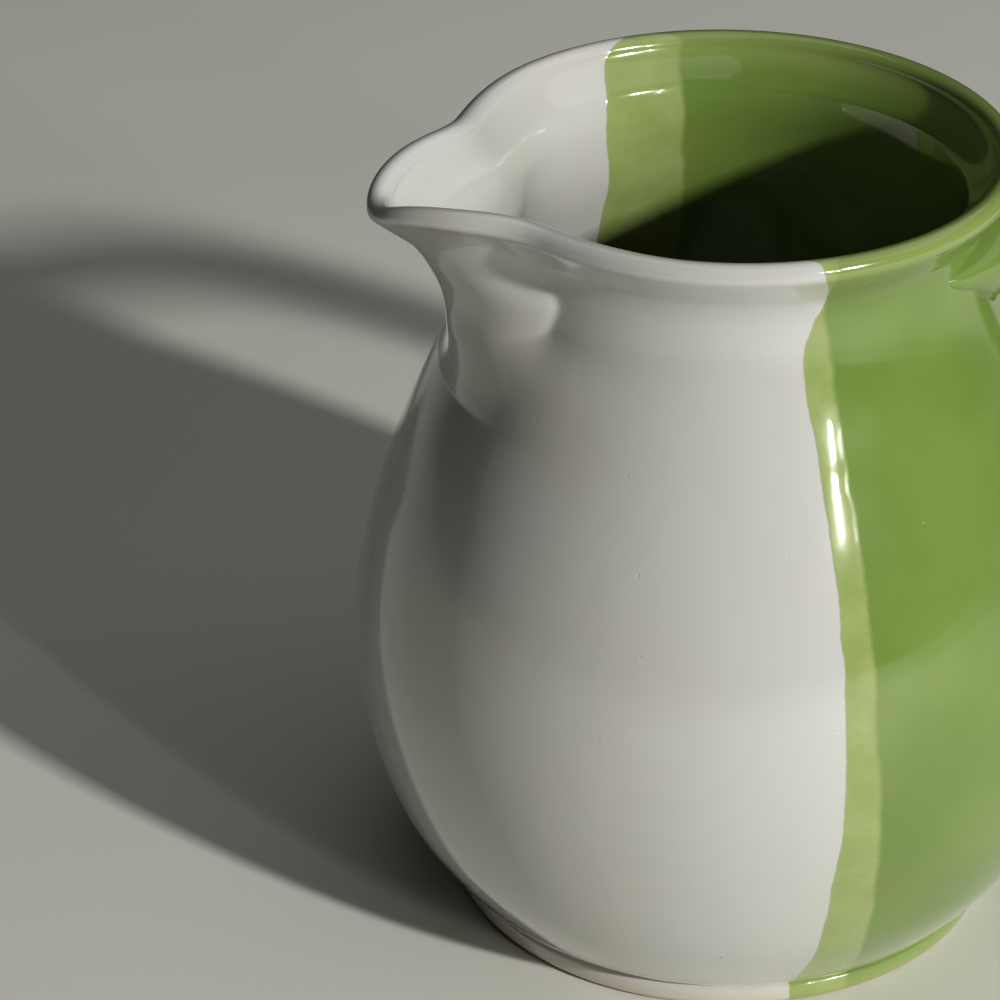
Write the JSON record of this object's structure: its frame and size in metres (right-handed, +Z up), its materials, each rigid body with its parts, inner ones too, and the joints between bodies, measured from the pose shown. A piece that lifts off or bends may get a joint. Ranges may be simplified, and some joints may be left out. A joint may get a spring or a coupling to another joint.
{
  "type": "ceramic pitcher",
  "caption": "Small round-bellied stoneware pitcher with a pulled spout and a strap handle, half in white glaze and half in green glaze, on a low foot ring.",
  "frame": {"origin": "centre of the bounding box in X and Y, on the surface the pitcher stands on", "axes": "+Z up, +X towards the handle, so that the spout points along -X"},
  "size_m": [0.186, 0.1322, 0.144],
  "materials": {
    "white_glaze": "gloss",
    "green_glaze": "gloss",
    "bare_clay": "matte"
  },
  "bodies": {
    "root": {"body": "white_glaze", "foot_ring": "bare_clay", "spout": "white_glaze", "handle": "green_glaze", "upper_handle_joint": "green_glaze", "lower_handle_joint": "green_glaze"}
  },
  "joints": []
}
